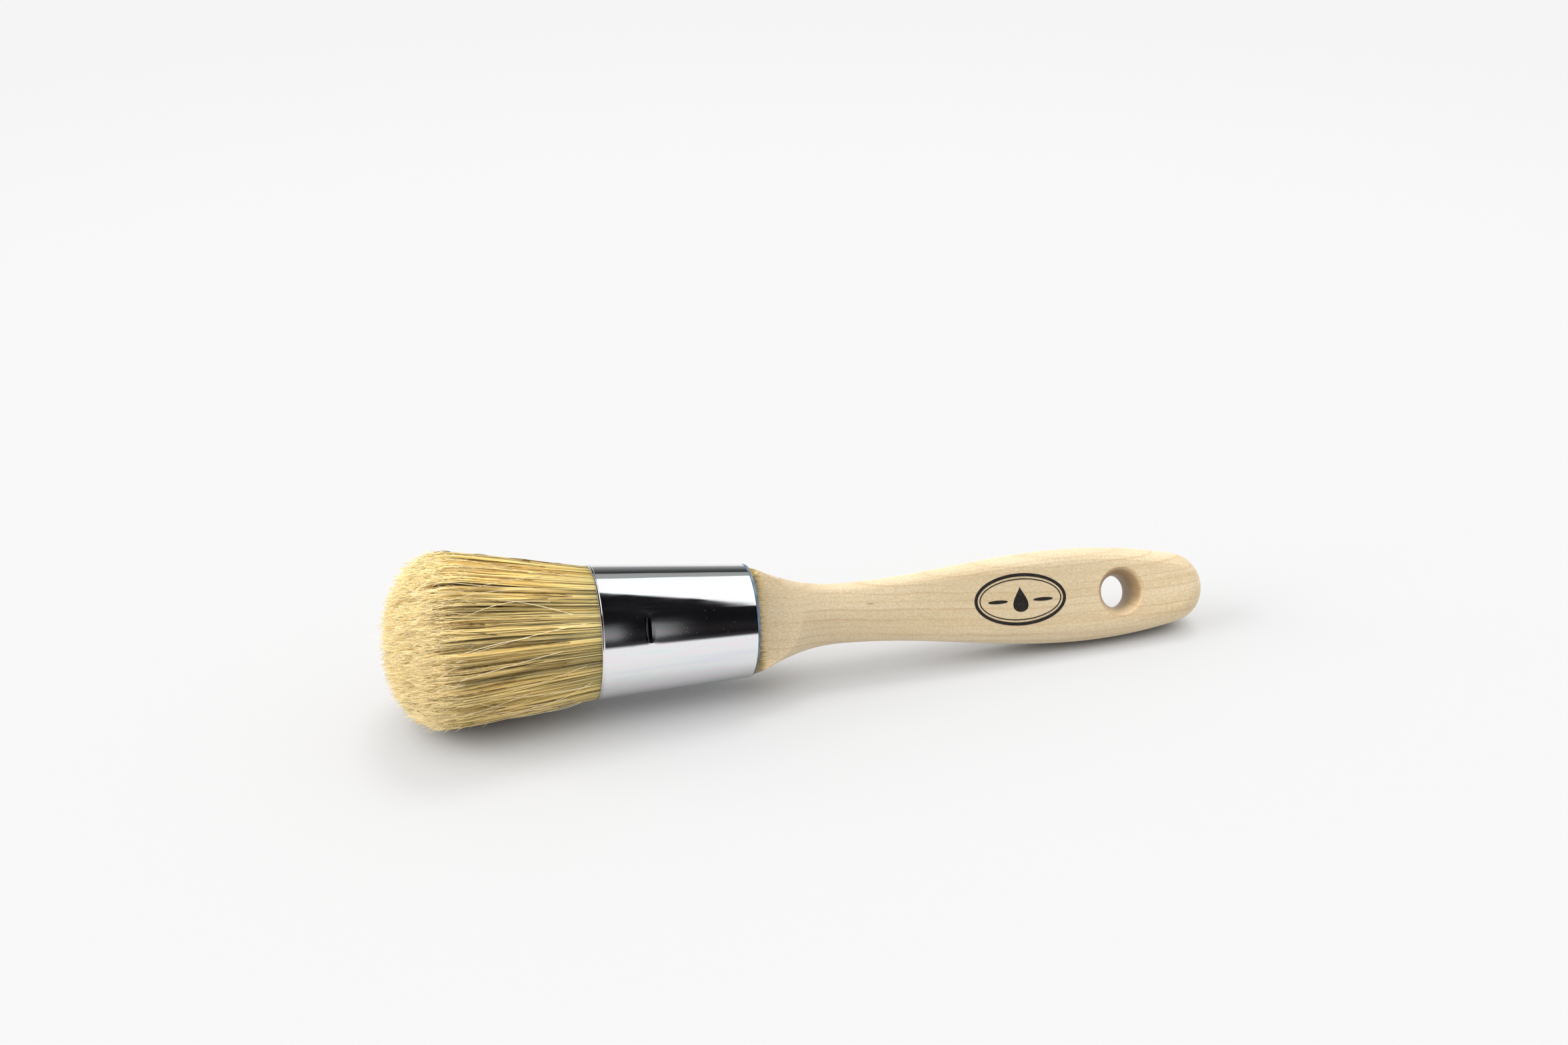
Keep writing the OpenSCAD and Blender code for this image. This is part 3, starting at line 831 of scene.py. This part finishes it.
def make_floor():
    """A plain pale sheet that glows where it is open to the sky, so that the shadow on it stays soft.

    Its rim fades into the backdrop."""
    mesh = bpy.data.meshes.new("stage_floor")
    turns = [2 * math.pi * i / RIM_SIDES for i in range(RIM_SIDES)]
    rim = [(FLOOR_FADE_TO * math.cos(turn), FLOOR_FADE_TO * math.sin(turn), 0) for turn in turns]
    mesh.from_pydata(rim, [], [tuple(range(RIM_SIDES))])
    floor = bpy.data.objects.new("stage_floor", mesh)
    bpy.context.scene.collection.objects.link(floor)
    material, tree, shader = new_material("stage_paper", roughness=0.9, specular_ior_level=0.0)
    at = tree.nodes.new("ShaderNodeTexCoord").outputs["Object"]
    length = tree.nodes.new("ShaderNodeVectorMath")
    length.operation = "LENGTH"
    feed(length.inputs[0], at)
    solid = rescale(tree, length.outputs["Value"], FLOOR_FADE_FROM, FLOOR_FADE_TO * 0.98, 1.0, 0.0, True)
    feed(shader.inputs["Alpha"], solid)
    open_sky = tree.nodes.new("ShaderNodeAmbientOcclusion")
    open_sky.samples = 12
    open_sky.inputs["Distance"].default_value = CONTACT_REACH
    glow = rescale(tree, open_sky.outputs["AO"], 0.03, 0.62, 0.0, FLOOR_GLOW, True)
    feed(shader.inputs["Emission Strength"], glow)
    shader.inputs["Emission Color"].default_value = (1.0, 1.0, 1.0, 1.0)
    shader.inputs["Base Color"].default_value = (FLOOR_WHITE, FLOOR_WHITE, FLOOR_WHITE, 1.0)
    material.cycles.emission_sampling = "NONE"
    mesh.materials.append(material)


def make_world():
    """A white backdrop to the eye, a white canopy as fill, and a dark room with pale strips for mirrors.

    Angles in that room run round the brush, in degrees: 0 in front, 90 above, 180 behind."""
    world = bpy.data.worlds.new("studio")
    bpy.context.scene.world = world
    world.use_nodes = True
    tree = world.node_tree
    tree.nodes.clear()
    out = tree.nodes.new("ShaderNodeOutputWorld")
    way = tree.nodes.new("ShaderNodeTexCoord").outputs["Generated"]
    split = tree.nodes.new("ShaderNodeSeparateXYZ")
    feed(split.inputs[0], way)
    front = calc(tree, "MULTIPLY", split.outputs[1], -1.0)
    round_brush = calc(tree, "ARCTAN2", split.outputs[2], front)
    turn = rescale(tree, round_brush, -math.pi, math.pi, 0.0, 1.0)

    def place(degrees):
        return (degrees + 180) / 360

    def grey(value, tint=(1.0, 1.0, 1.0)):
        return (value * tint[0], value * tint[1], value * tint[2], 1.0)

    room = ramp(tree, turn, [
        (0.0, grey(0.90)),
        (place(-3), grey(0.90)),
        (place(1.5), grey(0.05, (1.0, 0.93, 1.0))),
        (place(8), grey(0.012, (1.0, 0.95, 1.1))),
        (place(20), grey(0.016, (1.1, 0.95, 1.0))),
        (place(34), grey(0.006, (1.0, 0.95, 1.2))),
        (place(100), grey(0.006, (1.0, 0.95, 1.2))),
        (place(130), grey(0.30, (0.98, 1.0, 0.98))),
        (place(136), grey(0.40, (0.97, 1.0, 0.98))),
        (place(147), grey(0.38, (0.97, 1.0, 0.98))),
        (place(149), grey(0.04)),
        (place(153), grey(0.05)),
        (place(162), grey(0.15)),
        (place(172), grey(0.32)),
        (place(180), grey(0.55)),
    ])
    rays = tree.nodes.new("ShaderNodeLightPath")
    seen = tree.nodes.new("ShaderNodeBackground")
    seen.inputs["Color"].default_value = (BACKDROP, BACKDROP, BACKDROP, 1.0)
    fill = tree.nodes.new("ShaderNodeBackground")
    sides = calc(tree, "MULTIPLY", calc(tree, "ABSOLUTE", split.outputs[0]), 0.45)
    height = calc(tree, "ADD", split.outputs[2], calc(tree, "MULTIPLY", split.outputs[1], 0.22))
    height = calc(tree, "ADD", height, sides)
    feed(fill.inputs["Color"], ramp(tree, rescale(tree, height, -0.25, 1.0), [
        (0.0, grey(0.34)),
        (0.2, grey(0.40)),
        (0.5, grey(0.60)),
        (0.72, grey(1.02)),
        (1.0, grey(1.18)),
    ]))
    mirrored = tree.nodes.new("ShaderNodeBackground")
    far_side = rescale(tree, calc(tree, "ABSOLUTE", split.outputs[0]), 0.74, 0.92, 0.0, 0.6, True)
    feed(mirrored.inputs["Color"], blend(tree, far_side, room, grey(0.8, (1.0, 0.93, 0.95))))
    first = tree.nodes.new("ShaderNodeMixShader")
    feed(first.inputs[0], rays.outputs["Is Glossy Ray"])
    feed(first.inputs[1], fill.outputs[0])
    feed(first.inputs[2], mirrored.outputs[0])
    second = tree.nodes.new("ShaderNodeMixShader")
    feed(second.inputs[0], rays.outputs["Is Camera Ray"])
    feed(second.inputs[1], first.outputs[0])
    feed(second.inputs[2], seen.outputs[0])
    feed(out.inputs["Surface"], second.outputs[0])


def make_softbox():
    """The large softbox overhead that only the metal shows: its left edge is the slanted line there."""
    edge_a = BOX_EDGE_A * BOX_HEIGHT
    edge_b = BOX_EDGE_B * BOX_HEIGHT
    edge = (edge_b - edge_a).normalized()
    outward = Vector((-edge.y, edge.x, 0))
    back = edge_a - edge * BOX_BACK
    front = edge_a + edge * BOX_FRONT
    corners = [back, front, front + outward * BOX_WIDTH, back + outward * BOX_WIDTH]
    mesh = bpy.data.meshes.new("stage_softbox")
    mesh.from_pydata([tuple(c) for c in corners], [], [(0, 1, 2, 3)])
    softbox = bpy.data.objects.new("stage_softbox", mesh)
    bpy.context.scene.collection.objects.link(softbox)
    softbox.visible_camera = False
    softbox.visible_diffuse = False
    softbox.visible_transmission = False
    softbox.visible_shadow = False
    material = bpy.data.materials.new("stage_softbox")
    material.use_nodes = True
    tree = material.node_tree
    tree.nodes.clear()
    glow = tree.nodes.new("ShaderNodeEmission")
    glow.inputs["Strength"].default_value = BOX_GLOW
    feed(tree.nodes.new("ShaderNodeOutputMaterial").inputs["Surface"], glow.outputs[0])
    mesh.materials.append(material)


def make_sun(name, comes_from, share, spread):
    """Soft light from one direction. Mirrors don't show it."""
    data = bpy.data.lights.new(name, "SUN")
    data.angle = math.radians(spread)
    data.energy = share * math.pi
    sun = bpy.data.objects.new(name, data)
    sun.rotation_mode = "QUATERNION"
    sun.rotation_quaternion = (-comes_from).to_track_quat("-Z", "Y")
    sun.visible_glossy = False
    bpy.context.scene.collection.objects.link(sun)


def set_colour_view():
    settings = bpy.context.scene.view_settings
    settings.view_transform = "Standard"
    settings.look = "None"


make_camera()
finish_cad_nodes()
make_bristles()
make_floor()
make_world()
make_softbox()
# From above and behind, for the soft shadow in front, and from beyond the bristle tips, for the dome.
make_sun("key", KEY_FROM, KEY_SHARE, KEY_SPREAD)
make_sun("side", SIDE_FROM, SIDE_SHARE, SIDE_SPREAD)
set_colour_view()
